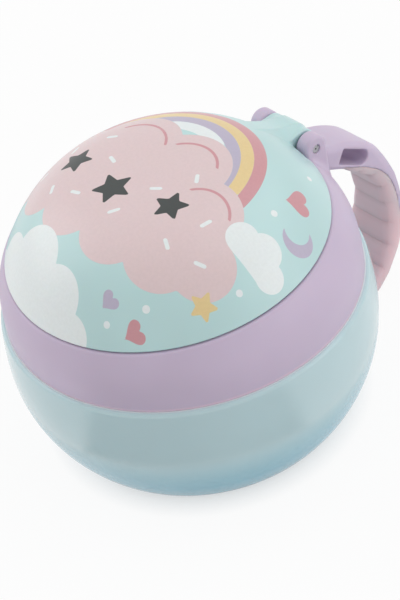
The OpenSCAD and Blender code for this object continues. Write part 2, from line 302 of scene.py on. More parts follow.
def implicit(field, low, high, cell):
    """Closed surface where field is zero: points, faces and exact normals, one point per crossed cell."""
    counts = [int(math.ceil((h - l) / cell)) + 1 for l, h in zip(low, high)]
    axes = [l + cell * np.arange(n) for l, n in zip(low, counts)]
    grid = np.stack(np.meshgrid(*axes, indexing="ij"), axis=-1)
    value = np.stack([field(layer.reshape(-1, 3)).reshape(layer.shape[:2]) for layer in grid])
    inside = value < 0
    cells = tuple(n - 1 for n in counts)
    total = np.zeros(cells + (3,))
    hits = np.zeros(cells)
    for axis in range(3):
        along = [slice(None)] * 3
        along[axis] = slice(0, -1)
        ahead = [slice(None)] * 3
        ahead[axis] = slice(1, None)
        a, b = value[tuple(along)], value[tuple(ahead)]
        cut = (a < 0) != (b < 0)
        share = np.where(cut, a / np.where(cut, a - b, 1), 0)
        point = grid[tuple(along)].copy()
        point[..., axis] += share * cell
        others = [k for k in range(3) if k != axis]
        for du in (0, 1):
            for dv in (0, 1):
                pick = [slice(None)] * 3
                pick[others[0]] = slice(du, du + cells[others[0]])
                pick[others[1]] = slice(dv, dv + cells[others[1]])
                hit = cut[tuple(pick)]
                hits += hit
                total += np.where(hit[..., None], point[tuple(pick)], 0)
    crossed = hits > 0
    number = np.full(cells, -1)
    number[crossed] = np.arange(crossed.sum())
    points = total[crossed] / hits[crossed][:, None]
    for _ in range(3):
        slope = gradient(field, points)
        move = field(points)[:, None] * slope / np.maximum((slope ** 2).sum(1, keepdims=True), 0.2)
        points -= np.clip(move, -cell / 2, cell / 2)
    faces = []
    for axis in range(3):
        u, v = (axis + 1) % 3, (axis + 2) % 3
        along = [slice(1, -1)] * 3
        along[axis] = slice(0, -1)
        ahead = [slice(1, -1)] * 3
        ahead[axis] = slice(1, None)
        a, b = inside[tuple(along)], inside[tuple(ahead)]
        for flip, cut in ((False, a & ~b), (True, ~a & b)):
            at = np.argwhere(cut)
            at[:, u] += 1
            at[:, v] += 1
            quad = []
            for du, dv in ((-1, -1), (0, -1), (0, 0), (-1, 0)):
                cell_at = at.copy()
                cell_at[:, u] += du
                cell_at[:, v] += dv
                quad.append(number[tuple(cell_at.T)])
            quad = np.stack(quad, axis=1)
            faces.append(quad[:, ::-1] if flip else quad)
    normals = gradient(field, points)
    normals /= np.maximum(np.linalg.norm(normals, axis=1, keepdims=True), 1e-9)
    return points, np.concatenate(faces), normals


# ---------------------------------------------------------------- materials

def srgb(r, g, b):
    """Linear colour of an sRGB triple from 0 to 255."""
    def linear(c):
        c /= 255
        return c / 12.92 if c <= 0.04045 else ((c + 0.055) / 1.055) ** 2.4
    return linear(r), linear(g), linear(b), 1


class Finish:
    """A node material with one Principled shader, and short calls for the nodes that feed it."""

    def __init__(self, name):
        self.material = bpy.data.materials.new(name)
        self.material.use_nodes = True
        self.nodes = self.material.node_tree.nodes
        self.links = self.material.node_tree.links
        self.shader = self.nodes["Principled BSDF"]
        self.place = self.nodes.new("ShaderNodeTexCoord").outputs["Object"]

    def set(self, **values):
        for key, value in values.items():
            self.shader.inputs[key.replace("_", " ")].default_value = value
        return self

    def feed(self, key, output):
        self.links.new(output, self.shader.inputs[key])

    def noise(self, per_mm, detail=3.0, stretch=(1, 1, 1)):
        """Soft noise from 0 to 1 with about per_mm lumps in a millimetre."""
        scale = self.nodes.new("ShaderNodeMapping")
        scale.inputs["Scale"].default_value = [s * per_mm / MM for s in stretch]
        self.links.new(self.place, scale.inputs["Vector"])
        node = self.nodes.new("ShaderNodeTexNoise")
        node.inputs["Scale"].default_value = 1
        node.inputs["Detail"].default_value = detail
        self.links.new(scale.outputs["Vector"], node.inputs["Vector"])
        return node.outputs["Fac"]

    def ramp(self, value, low, high, to_low=0.0, to_high=1.0):
        """Value taken from the range low to high into another range."""
        node = self.nodes.new("ShaderNodeMapRange")
        node.inputs["From Min"].default_value = low
        node.inputs["From Max"].default_value = high
        node.inputs["To Min"].default_value = to_low
        node.inputs["To Max"].default_value = to_high
        self.links.new(value, node.inputs["Value"])
        return node.outputs["Result"]

    def mix(self, share, a, b):
        """Colour a where share is 0 and b where it is 1."""
        node = self.nodes.new("ShaderNodeMix")
        node.data_type = "RGBA"
        self.links.new(share, node.inputs["Factor"])
        for socket, colour in (("A", a), ("B", b)):
            target = [i for i in node.inputs if i.name == socket and i.type == "RGBA"][0]
            if isinstance(colour, tuple):
                target.default_value = colour
            else:
                self.links.new(colour, target)
        return [o for o in node.outputs if o.type == "RGBA"][0]

    def height(self):
        """Height above the floor in millimetres."""
        split = self.nodes.new("ShaderNodeSeparateXYZ")
        self.links.new(self.place, split.inputs["Vector"])
        node = self.nodes.new("ShaderNodeMath")
        node.operation = "MULTIPLY"
        node.inputs[1].default_value = 1 / MM
        self.links.new(split.outputs["Z"], node.inputs[0])
        return node.outputs["Value"]

    def attribute(self, name):
        node = self.nodes.new("ShaderNodeAttribute")
        node.attribute_name = name
        return node.outputs["Fac"]

    def bump(self, value, depth_mm, strength=1.0):
        node = self.nodes.new("ShaderNodeBump")
        node.inputs["Strength"].default_value = strength
        node.inputs["Distance"].default_value = depth_mm * MM
        self.links.new(value, node.inputs["Height"])
        self.feed("Normal", node.outputs["Normal"])


def shade(colour, factor):
    return tuple(c * factor for c in colour[:3]) + (1,)


def moulded(name, colour, rough, grain=3.0, grain_depth=0.006, drift=0.035, **values):
    """Moulded plastic: slow colour drift from the melt, uneven gloss and a fine tool texture."""
    finish = Finish(name)
    finish.set(**values)
    drift_noise = finish.noise(0.035, detail=2)
    finish.feed("Base Color", finish.mix(finish.ramp(drift_noise, 0.3, 0.7),
                                         shade(colour, 1 - drift), shade(colour, 1 + drift)))
    finish.feed("Roughness", finish.ramp(finish.noise(0.3), 0.3, 0.7, rough - 0.03, rough + 0.03))
    finish.bump(finish.noise(grain, detail=2), grain_depth)
    return finish


AQUA = srgb(190, 221, 221)
LILAC = srgb(203, 187, 210)
PINK = srgb(224, 202, 203)
ROSE = srgb(208, 152, 158)
GOLD = srgb(230, 205, 150)
WHITE = srgb(232, 238, 238)
CHARCOAL = srgb(62, 67, 66)
INK_LILAC = srgb(188, 180, 200)
GRIP_PINK = srgb(232, 202, 208)
LILAC_GLOSS = 0.42
LILAC_SOFT = {"Subsurface_Weight": 0.08, "Subsurface_Scale": 0.002}


def cup_finish():
    """Glossy aqua plastic whose colour deepens towards the base, partly for the thicker plastic at the base
    and partly as a painted reflection of the shaded floor at the foot; the inside is painted paler, against
    the shade in the cup.
    """
    body, thick_and_shaded, painted_inside_light = srgb(191, 216, 221), srgb(116, 182, 202), srgb(228, 240, 242)
    finish = Finish("cup_tinted_plastic")
    drift = finish.mix(finish.ramp(finish.noise(0.03, detail=2), 0.3, 0.7),
                       shade(body, 0.97), shade(body, 1.03))
    # Painted shade: from 25 mm down to 11 mm the colour darkens towards the base, more than the thicker base
    # plastic alone gives
    deepened_and_shaded = finish.mix(finish.ramp(finish.height(), BASE_DEEP_AND_SHADE_START_Z, BASE_DEEP_AND_SHADE_FULL_Z), drift, thick_and_shaded)
    # Painted light: the cup's inside and floor are made paler, against the shade inside the cup
    finish.feed("Base Color", finish.mix(finish.attribute("inside"), deepened_and_shaded, painted_inside_light))
    finish.feed("Roughness", finish.ramp(finish.noise(0.2), 0.3, 0.7, 0.07, 0.12))
    finish.bump(finish.noise(0.25, detail=1), 0.01)
    finish.set(Subsurface_Weight=0.2, Subsurface_Scale=0.004, Subsurface_Radius=(0.6, 0.9, 1.0), IOR=1.5,
               Coat_Weight=0.3, Coat_IOR=1.5, Coat_Roughness=0.05)
    return finish.material


INKS = (("ink_pink", PINK), ("ink_lilac", INK_LILAC), ("ink_gold", GOLD), ("ink_rose", ROSE),
        ("ink_white", WHITE), ("ink_charcoal", CHARCOAL))
INK_EDGE = 0.05


def lid_finish():
    """Satin aqua with the printed pattern, stored on the mesh as distances to its outlines."""
    finish = moulded("lid_printed_plastic", AQUA, 0.34, Subsurface_Weight=0.08, Subsurface_Scale=0.002,
                     Coat_Weight=0.2, Coat_Roughness=0.25)
    colour = finish.shader.inputs["Base Color"].links[0].from_socket
    speckle = finish.ramp(finish.noise(1.2, detail=2), 0.35, 0.65)
    for name, ink in INKS:
        inked = finish.ramp(finish.attribute(name), INK_EDGE, -INK_EDGE)
        colour = finish.mix(inked, colour, finish.mix(speckle, shade(ink, 0.985), shade(ink, 1.015)))
    finish.feed("Base Color", colour)
    return finish.material


def collar_finish():
    """Satin plastic with a painted highlight, a paler pink, along its thin lower edge."""
    finish = moulded("collar_plastic", LILAC, LILAC_GLOSS, **LILAC_SOFT)
    colour = finish.shader.inputs["Base Color"].links[0].from_socket
    # Painted highlight: the collar is made paler below 43.9 mm, fully so at 43.2 mm
    painted_edge_highlight = finish.ramp(finish.height(), EDGE_HIGHLIGHT_START_Z, EDGE_HIGHLIGHT_FULL_Z)
    finish.feed("Base Color", finish.mix(painted_edge_highlight, colour, srgb(224, 198, 216)))
    return finish.material


def grip_finish():
    """Soft matt rubber, painted a little darker in the grooves between the ribs as shade."""
    finish = moulded("grip_rubber", GRIP_PINK, 0.6, grain=5.0, grain_depth=0.012, Sheen_Weight=0.15,
                     Sheen_Roughness=0.5, Subsurface_Weight=0.5, Subsurface_Scale=0.006,
                     Subsurface_Radius=(1.0, 0.5, 0.5))
    colour = finish.shader.inputs["Base Color"].links[0].from_socket
    # Painted shade: the grooves between the ribs are darkened
    groove_shade = finish.ramp(finish.attribute("groove"), 0.3, 1)
    finish.feed("Base Color", finish.mix(groove_shade, colour, shade(GRIP_PINK, 0.88)))
    return finish.material


def steel_finish():
    finish = Finish("pin_steel")
    finish.set(Metallic=1.0)
    brushed = finish.noise(2.0, stretch=(0.15, 1, 1))
    finish.feed("Base Color", finish.mix(brushed, srgb(150, 150, 156), srgb(185, 185, 190)))
    finish.feed("Roughness", finish.ramp(brushed, 0.3, 0.7, 0.28, 0.42))
    finish.bump(brushed, 0.01)
    return finish.material


def floor_material(foot=38, clear=48, level=0.985):
    """White floor that bounces light plainly; where it is seen it is lifted to white, less so at the foot."""
    material = bpy.data.materials.new("floor_white")
    material.use_nodes = True
    nodes, links = material.node_tree.nodes, material.node_tree.links
    nodes.clear()

    def lifted(share):
        """Plain floor that shows only a share of its light and shadow."""
        seen = nodes.new("ShaderNodeBsdfDiffuse")
        seen.inputs["Color"].default_value = (share,) * 3 + (1,)
        lift = nodes.new("ShaderNodeEmission")
        lift.inputs["Strength"].default_value = level - share
        both = nodes.new("ShaderNodeAddShader")
        links.new(seen.outputs[0], both.inputs[0])
        links.new(lift.outputs[0], both.inputs[1])
        return both.outputs[0]

    def mix(share, a, b):
        node = nodes.new("ShaderNodeMixShader")
        links.new(share, node.inputs["Fac"])
        links.new(a, node.inputs[1])
        links.new(b, node.inputs[2])
        return node.outputs[0]

    def math_node(operation, a, b):
        node = nodes.new("ShaderNodeMath")
        node.operation = operation
        node.use_clamp = True
        links.new(a, node.inputs[0])
        links.new(b, node.inputs[1])
        return node.outputs[0]

    reach = nodes.new("ShaderNodeVectorMath")
    reach.operation = "LENGTH"
    links.new(nodes.new("ShaderNodeTexCoord").outputs["Object"], reach.inputs[0])
    away = nodes.new("ShaderNodeMapRange")
    away.inputs["From Min"].default_value = foot * MM
    away.inputs["From Max"].default_value = clear * MM
    links.new(reach.outputs["Value"], away.inputs["Value"])
    path = nodes.new("ShaderNodeLightPath").outputs
    shown = math_node("ADD", path["Is Camera Ray"], path["Is Glossy Ray"])
    shown = math_node("ADD", shown, path["Is Transmission Ray"])
    bounce = nodes.new("ShaderNodeBsdfDiffuse")
    bounce.inputs["Color"].default_value = (0.8, 0.8, 0.8, 1)
    out = nodes.new("ShaderNodeOutputMaterial")
    seen = mix(away.outputs["Result"], lifted(0.5), lifted(0.06))
    links.new(mix(shown, bounce.outputs[0], seen), out.inputs["Surface"])
    return material


def dress(obj, material, body, *nodes):
    """Material, body and the CAD nodes that the piece stands for."""
    obj.data.materials.clear()
    obj.data.materials.append(material)
    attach(obj, body)
    if nodes:
        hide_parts(*nodes)
    return obj


# ---------------------------------------------------------------- cup

def thread_mesh(root, crest, z, turns, steps=150):
    """Helical ridge, thin at both ends."""
    lead_in = steps / 12
    rings = []
    for i in range(steps + 1):
        rise = max(0.05, min(1, i / lead_in, (steps - i) / lead_in))
        turn = turns * i / steps
        half = (THREAD_CREST + 1) / 2
        tip = root + (crest - root) * rise
        tip_half = half + (THREAD_CREST / 2 - half) * rise
        ring = round_corners([[root, -half], [tip, -tip_half], [tip, tip_half], [root, half]],
                             [0, 0.3 * rise, 0.3 * rise, 0], steps=3)
        if crest < root:
            ring = ring[::-1]
        angle = 2 * math.pi * turn
        rings.append([[p[0] * math.cos(angle), p[0] * math.sin(angle), z + THREAD_LEAD * turn + p[1]]
                      for p in ring])
    return skin(rings)


def cup_outline():
    """Section of the cup: outside from the base up to the rim, then inside down to the floor."""
    lower_c = CUP_R - LOWER_CURVE_R
    upper_c = CUP_R - UPPER_CURVE_R
    base_in = LOWER_CURVE_R - BASE_CORNER_R
    base_c = (lower_c + math.sqrt(base_in ** 2 - (BELLY_Z - BASE_CORNER_R) ** 2), BASE_CORNER_R)
    base_a = math.atan2(BASE_CORNER_R - BELLY_Z, base_c[0] - lower_c)
    edge_z = SHOULDER_Z - EDGE_ROUND
    edge_c = (upper_c + math.sqrt((UPPER_CURVE_R - EDGE_ROUND) ** 2 - (edge_z - BELLY_Z) ** 2), edge_z)
    edge_a = math.atan2(edge_z - BELLY_Z, edge_c[0] - upper_c)
    inner_z = CUP_FLOOR + INNER_CORNER_R
    inner_in = LOWER_CURVE_R - CUP_WALL - INNER_CORNER_R
    inner_c = (lower_c + math.sqrt(inner_in ** 2 - (BELLY_Z - inner_z) ** 2), inner_z)
    inner_a = math.atan2(inner_z - BELLY_Z, inner_c[0] - lower_c)
    top_z = SHOULDER_Z - CUP_WALL
    top_a = math.asin((top_z - BELLY_Z) / (UPPER_CURVE_R - CUP_WALL))
    bore = NECK_R - CUP_WALL
    down = -math.pi / 2
    neck = round_corners([[bore, top_z], [NECK_R, SHOULDER_Z], [NECK_R, RIM_Z], [bore, RIM_Z]],
                         [0, 0.3, 0.6, 0.6], steps=4)[1:]
    return np.concatenate([
        [[0.01, 0], [20, 0], [base_c[0] - 1, 0]],
        arc(base_c, BASE_CORNER_R, down, base_a, 12),
        arc((lower_c, BELLY_Z), LOWER_CURVE_R, base_a, 0, 30, first=1),
        arc((upper_c, BELLY_Z), UPPER_CURVE_R, 0, edge_a, 18, first=1),
        arc(edge_c, EDGE_ROUND, edge_a, math.pi / 2, 8, first=1),
        neck,
        [[bore, top_z + 0.6], [bore + 0.6, top_z]],
        arc((upper_c, BELLY_Z), UPPER_CURVE_R - CUP_WALL, top_a, 0, 12),
        arc((lower_c, BELLY_Z), LOWER_CURVE_R - CUP_WALL, 0, inner_a, 20, first=1),
        arc(inner_c, INNER_CORNER_R, inner_a, down, 12, first=1),
        [[20, CUP_FLOOR], [0.01, CUP_FLOOR]]])


def make_cup():
    parts = [lathe(cup_outline(), 288),
             thread_mesh(NECK_R - THREAD_BASE, NECK_R + THREAD_DEPTH, THREAD_Z, THREAD_TURNS)]
    cup = join_meshes("cup_body", parts)
    mesh = cup.data
    size = len(mesh.vertices) * 3
    point, normal = np.empty(size, np.float32), np.empty(size, np.float32)
    mesh.vertices.foreach_get("co", point)
    mesh.vertex_normals.foreach_get("vector", normal)
    point, normal = point.reshape(-1, 3) / MM, normal.reshape(-1, 3)
    inward = (point[:, :2] * normal[:, :2]).sum(axis=1) < -0.02
    floor = (normal[:, 2] > 0.5) & (point[:, 2] < SHOULDER_Z - CUP_WALL)
    store(cup, "inside", inward | floor)
    return dress(cup, cup_finish(), "cup", "cup")


# ---------------------------------------------------------------- collar

def collar_side(z):
    """Outer radius of the collar at height z."""
    return COLLAR_R - SHOULDER_DROP * (np.maximum(0, z - COLLAR_Z) / SHOULDER_SPAN) ** 3


def seam_height(y):
    """Height of the lid's seam at distance y behind the cup's axis."""
    return SEAM_Z + math.tan(LID_TILT) * (y + LID_FORWARD)


def make_collar(plastic, segments=720):
    turn = np.linspace(0, 2 * math.pi, segments, endpoint=False)
    back = np.sin(turn)
    top = np.full(segments, float(SEAM_Z))
    for _ in range(40):
        top = seam_height(collar_side(top) * back)
    side_x = np.abs(collar_side(top) * np.cos(turn))
    outer_y = collar_side(top) * back
    hollow = HINGE_Z - np.sqrt(np.maximum(SWING_R ** 2 - (outer_y - HINGE_Y) ** 2, 0))
    share = np.clip((8.4 - side_x) / 1.2, 0, 1) * (back > 0)
    top = top * (1 - share) + np.minimum(top, hollow) * share
    inner_top = np.where(share > 0, top, seam_height((collar_side(top) - COLLAR_WALL) * back))
    columns, radii = [], []

    def corner(r, z, radius):
        columns.append(np.stack(np.broadcast_arrays(r * np.ones(segments), z), axis=-1))
        radii.append(radius)

    corner(COLLAR_BORE_R, COLLAR_SKIRT_Z, 0.4)
    corner(COLLAR_R, COLLAR_SKIRT_Z, 0.08)
    for share in np.linspace(0.06, 0.95, 24):
        z = COLLAR_Z + (top - COLLAR_Z) * share
        corner(collar_side(z), z, 0)
    corner(collar_side(top), top, 0.5)
    corner(collar_side(top) - COLLAR_WALL, inner_top, 0.4)
    for share in np.linspace(0.15, 0.8, 6):
        z = inner_top + (DECK_TOP_Z - inner_top) * share
        corner(collar_side(z) - COLLAR_WALL, z, 0)
    corner(collar_side(DECK_TOP_Z) - COLLAR_WALL, DECK_TOP_Z, 0.9)
    corner(MOUTH_R + MOUTH_WALL, DECK_TOP_Z, 0.5)
    corner(MOUTH_R + MOUTH_WALL, MOUTH_TOP_Z, 0.6)
    corner(MOUTH_R, MOUTH_TOP_Z, 0.6)
    corner(MOUTH_R, DECK_Z, 0.4)
    corner(COLLAR_BORE_R, DECK_Z, 0.4)
    outline = round_corners(np.stack(columns, axis=1), radii)
    parts = [lathe(outline, segments),
             thread_mesh(COLLAR_BORE_R + THREAD_BASE, COLLAR_BORE_R - THREAD_DEPTH, THREAD_Z - THREAD_PLAY,
                         COLLAR_THREAD_TURNS)]
    return dress(join_meshes("collar_ring", parts), plastic, "collar", "collar")


# ---------------------------------------------------------------- handle and lugs

def handle_place(y, z):
    """Distance along the handle's centre line, and distance out from it, of points in its plane."""
    dy, dz = y - ROOT[0], z - ROOT[1]
    straight_s = dy * math.cos(SLOPE) - dz * math.sin(SLOPE)
    straight_m = dy * math.sin(SLOPE) + dz * math.cos(SLOPE)
    bend_y = ROOT[0] + ROOT_L * math.cos(SLOPE) - BEND_R * math.sin(SLOPE)
    bend_z = ROOT[1] - ROOT_L * math.sin(SLOPE) - BEND_R * math.cos(SLOPE)
    by, bz = y - bend_y, z - bend_z
    bend_s = ROOT_L + (np.arctan2(by, bz) - SLOPE) * BEND_R
    hook_y = bend_y + BEND_R - HOOK_R
    hy = y - hook_y
    hook_turn = np.arctan2(hy, bz) - math.pi / 2
    hook_turn = np.where(hook_turn < -math.pi / 2, hook_turn + 2 * math.pi, hook_turn)
    tail_y = hook_y + (HOOK_R - TAIL_R) * math.cos(HOOK_ANGLE)
    tail_z = bend_z - (HOOK_R - TAIL_R) * math.sin(HOOK_ANGLE)
    ty, tz = y - tail_y, z - tail_z
    tail_turn = np.arctan2(ty, tz) - math.pi / 2
    tail_turn = np.where(tail_turn < -math.pi / 2, tail_turn + 2 * math.pi, tail_turn)
    which = [straight_s < ROOT_L, bz > 0, hook_turn < HOOK_ANGLE]
    s = np.select(which, [straight_s, bend_s, HOOK_S + hook_turn * HOOK_R],
                  TAIL_S + (tail_turn - HOOK_ANGLE) * TAIL_R)
    m = np.select(which, [straight_m, np.hypot(by, bz) - BEND_R, np.hypot(hy, bz) - HOOK_R],
                  np.hypot(ty, tz) - TAIL_R)
    return s, m


def thickness(s):
    return np.interp(s, [0, 9, 15, 19, 24, 29, 43.6, 51.6, 59.6, HANDLE_L],
                     [7.5, 8.4, 8.9, 8.7, 7.6, 7, 7.4, 6.8, 5, 4])


def half_width(s):
    return np.interp(s, [0, HOOK_S, HANDLE_L], [HANDLE_HALF, HANDLE_HALF, HANDLE_END_HALF])


def parting(x, s):
    """Depth of the grip on the handle's side: none before it starts, all of it past the core's round end."""
    end = CORE_END_S + 5 * np.sqrt(np.maximum(0, 1 - (x / HANDLE_HALF) ** 2)) - 0.4
    side = np.interp(s, [GRIP_S - 0.2, GRIP_S + 0.3, 12.5, 17.6, 29, CORE_END_S],
                     [-1, 0.8, 1.2, 2.2, 3.4, 4.4])
    return side + np.clip((s - end) / 0.6, 0, 1) * 5


def groove(s):
    """How deep in a groove between two ribs the inner face is: 1 at the bottom, 0 on the crest."""
    return 1 - np.abs(np.sin(math.pi * (s - GRIP_S - RIB_SHIFT) / RIB_PITCH))


def rib(s):
    """Ribs across the inner face: round crests with narrow grooves between them."""
    wave = RIB_H * (1 - groove(s)) ** 0.7 - RIB_GROOVE * groove(s) ** 3
    return wave * np.clip((s - GRIP_S) / 2, 0, 1) * np.clip((HANDLE_L - s) / 4, 0, 1)


def handle_bar(x, s, m):
    """Field of the whole handle, core and grip together."""
    inner, outer = -thickness(s) / 2 - rib(s), thickness(s) / 2
    radius = np.minimum(np.interp(s, [15, 23], [ROOT_CORNER_R, CORNER_R]), (outer - inner) / 2 - 0.1)
    qx = np.abs(x) - half_width(s) + radius
    qm = np.abs(m - (inner + outer) / 2) - (outer - inner) / 2 + radius
    bar = np.hypot(np.maximum(qx, 0), np.maximum(qm, 0)) + np.minimum(np.maximum(qx, qm), 0) - radius
    return round_max(bar, s - HANDLE_L, 1.9)


def slot_field(y, z):
    """Slot across the handle, square at the hinge's end and round at the other."""
    dy = y - ROOT[0] - SLOT_S * math.cos(SLOPE) - SLOT_SHIFT * math.sin(SLOPE)
    dz = z - ROOT[1] + SLOT_S * math.sin(SLOPE) - SLOT_SHIFT * math.cos(SLOPE)
    along = dy * math.cos(SLOT_SLOPE) - dz * math.sin(SLOT_SLOPE)
    across = dy * math.sin(SLOT_SLOPE) + dz * math.cos(SLOT_SLOPE)
    half = SLOT_W / 2
    soft = 0.7
    round_end = SLOT_L - half
    square = box_field(along, across, (soft, -half + soft), (round_end + 1, half - soft)) - soft
    square = np.maximum(square, along - round_end)
    return np.minimum(square, np.hypot(along - round_end, across) - half)


def core_field(p):
    """Lugs, boss and hard core of the handle, with a fillet where they meet the collar."""
    x, y, z = p.T
    s, m = handle_place(y, z)
    axis = np.hypot(y - HINGE_Y, z - HINGE_Z)
    bar = np.maximum(handle_bar(x, s, m), -BOSS_BACK - s)
    foot = box_field(y, z, (HINGE_Y - KNUCKLE_R, DECK_Z), (FOOT_BACK_Y, MOUTH_TOP_Z))
    bar = np.minimum(bar, np.maximum(foot, np.abs(x) - HANDLE_HALF))
    pillar = box_field(y, z, (HINGE_Y - KNUCKLE_R, PILLAR_Z), (HINGE_Y + KNUCKLE_R, HINGE_Z))
    lug_mid, lug_half = (LUG_INNER + LUG_OUTER) / 2, (LUG_OUTER - LUG_INNER) / 2
    lugs = round_max(np.minimum(axis - KNUCKLE_R, pillar), np.abs(np.abs(x) - lug_mid) - lug_half, 1.1)
    solid = smooth_min(bar, lugs, 1.8)
    radius = np.hypot(x, y)
    outside = radius - collar_side(z)
    under_seam = z - seam_height(y) + 0.5
    wall = np.maximum(np.maximum(outside + 0.06, -outside - WALL_DEPTH),
                      np.maximum(under_seam, WALL_LOW_Z - z))
    wall = np.maximum(wall, np.abs(x) - WALL_HALF)
    solid = smooth_min(solid, wall, 2.0)
    cavity = np.maximum(radius - COLLAR_BORE_R - 0.1, z - DECK_Z)
    solid = np.maximum(solid, -cavity)
    barrel_room = np.maximum(axis - SWING_R, np.abs(x) - LUG_INNER)
    solid = round_max(solid, -barrel_room, 0.3)
    solid = round_max(solid, PIN_R - axis, 0.2)
    solid = round_max(solid, parting(x, s) - thickness(s) / 2 - m, 0.02)
    return round_max(solid, -slot_field(y, z), 0.55)


def grip_field(p):
    x, y, z = p.T
    s, m = handle_place(y, z)
    return round_max(handle_bar(x, s, m), m + thickness(s) / 2 - parting(x, s) - 0.06, 0.02)


def make_handle(plastic, rubber, cell=0.4):
    low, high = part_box("handle")
    grip_low, grip_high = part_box("handle_grip")
    margin = 1.5
    core_low = (-14.5, HINGE_Y - KNUCKLE_R - margin, low.z / MM - margin)
    core_high = (14.5, high.y / MM + margin, HINGE_Z + KNUCKLE_R + margin)
    core = mesh_object("handle_core", *implicit(core_field, core_low, core_high, cell))
    dress(core, plastic, "collar", "handle")
    reach = [(v / MM - margin) for v in grip_low]
    points, faces, normals = implicit(grip_field, reach, [v / MM + margin for v in grip_high], cell)
    grip = mesh_object("grip", points, faces, normals)
    s, m = handle_place(points[:, 1], points[:, 2])
    store(grip, "groove", np.where(m < INNER_SKIN - thickness(s) / 2, groove(s), 0))
    dress(grip, rubber, "collar", "handle_grip")


def make_pin():
    """Rolled steel pin with its slit, bevelled at both ends."""
    wall = 1.0
    gap = math.radians(9)
    rings = []
    for x, drop in ((-PIN_HALF, 0.15), (-PIN_HALF + 0.2, 0), (PIN_HALF - 0.2, 0), (PIN_HALF, 0.15)):
        outer = arc((0, 0), PIN_R - 0.02 - drop, gap, 2 * math.pi - gap, 40)
        inner = arc((0, 0), PIN_R - wall + drop / 2, 2 * math.pi - gap, gap, 40)
        turn = math.radians(35)
        section = np.concatenate([outer, inner])
        rings.append([[x, HINGE_Y + a * math.cos(turn) - b * math.sin(turn),
                       HINGE_Z + a * math.sin(turn) + b * math.cos(turn)] for a, b in section])
    pin = mesh_object("rolled_pin", *skin(rings))
    dress(pin, steel_finish(), "collar", "hinge_pin")


# ---------------------------------------------------------------- lid

def to_lid(p):
    """Points in the lid's own frame, whose origin is at the middle of the seam."""
    y, z = p[:, 1] + LID_FORWARD, p[:, 2] - SEAM_Z
    c, s = math.cos(LID_TILT), math.sin(LID_TILT)
    return p[:, 0], y * c + z * s, z * c - y * s


def from_lid(points):
    c, s = math.cos(LID_TILT), math.sin(LID_TILT)
    x, y, z = points[..., 0], points[..., 1], points[..., 2]
    return np.stack([x, y * c - z * s - LID_FORWARD, y * s + z * c + SEAM_Z], axis=-1)


def dome_field(x, y, z, r, h):
    share = np.minimum(np.hypot(x, y) / r, 1.15)
    steep = h * DOME_POWER / r * share ** (DOME_POWER - 1)
    return (z - h * (1 - share ** DOME_POWER)) / np.sqrt(1 + steep ** 2)


def lid_field(p):
    """Shell of the lid with its hinge block, which flows out of the dome."""
    x, y, z = to_lid(p)
    outer = dome_field(x, y, z, LID_R, DOME_H)
    inner = dome_field(x, y, z, LID_INNER_R, LID_INNER_H)
    shell = round_max(round_max(outer, SEAM_GAP - z, 0.25), -inner, 0.3)
    axis = np.hypot(p[:, 1] - HINGE_Y, p[:, 2] - HINGE_Z)
    width = np.abs(x)
    post = box_field(p[:, 1], p[:, 2], (HINGE_Y - POST_ROOM, SEAM_Z), (HINGE_Y + POST_ROOM, HINGE_Z))
    notch = np.maximum(np.minimum(axis - SWING_R, post), width - NOTCH_HALF)
    shell = round_max(shell, -notch, 0.4)
    top_z = HINGE_Z + KNUCKLE_R
    block = box_field(p[:, 1], p[:, 2], (BLOCK_FRONT_Y, HINGE_Z - 1), (HINGE_Y, top_z))
    block = round_max(np.minimum(block, axis - KNUCKLE_R), width - BARREL_HALF, 0.7)
    block = np.maximum(block, -inner)
    lid = smooth_min(shell, block, np.interp(width, [3, BARREL_HALF], [9.0, 0.8]))
    lug_room = np.maximum(notch, BARREL_HALF - width)
    lid = round_max(lid, -lug_room, 0.4)
    return np.maximum(lid, PIN_R + 0.05 - axis)


def discs(x, y, *places):
    """Field of several discs, each (x, y, radius)."""
    return np.minimum.reduce([np.hypot(x - cx, y - cy) - r for cx, cy, r in places])


def band(x, y, cx, cy, inner, outer):
    return np.abs(np.hypot(x - cx, y - cy) - (inner + outer) / 2) - (outer - inner) / 2


def outline_field(x, y, corners):
    """Distance to a closed outline, negative inside."""
    corners = np.asarray(corners, float)
    nearest = np.full(x.shape, 1e9)
    inside = np.zeros(x.shape, bool)
    for (ax, ay), (bx, by) in zip(corners, np.roll(corners, -1, axis=0)):
        ex, ey = bx - ax, by - ay
        t = np.clip(((x - ax) * ex + (y - ay) * ey) / (ex * ex + ey * ey), 0, 1)
        nearest = np.minimum(nearest, np.hypot(x - ax - t * ex, y - ay - t * ey))
        if ey != 0:
            inside ^= ((ay > y) != (by > y)) & (x < ax + (y - ay) / ey * ex)
    return np.where(inside, -nearest, nearest)


def star(x, y, cx, cy, size, turn=0.0):
    """Five-pointed star with soft points."""
    count = np.arange(10)
    angle = turn + np.pi / 2 + count * np.pi / 5
    reach = np.where(count % 2, 0.48 * size, size)
    corners = np.stack([cx + reach * np.cos(angle), cy + reach * np.sin(angle)], axis=1)
    return outline_field(x, y, corners) - 0.4


def heart(x, y, cx, cy, size, turn=0.0):
    t = np.linspace(0, 2 * np.pi, 48, endpoint=False)
    hx = size * np.sin(t) ** 3
    hy = size / 16 * (13 * np.cos(t) - 5 * np.cos(2 * t) - 2 * np.cos(3 * t) - np.cos(4 * t))
    corners = np.stack([cx + hx * math.cos(turn) - hy * math.sin(turn),
                        cy + hx * math.sin(turn) + hy * math.cos(turn)], axis=1)
    return outline_field(x, y, corners)


def dash(x, y, cx, cy, turn, length=2.4, r=0.55):
    """Short rounded stroke."""
    along = (x - cx) * math.cos(turn) + (y - cy) * math.sin(turn)
    across = (y - cy) * math.cos(turn) - (x - cx) * math.sin(turn)
    return np.hypot(np.maximum(np.abs(along) - length / 2, 0), across) - r


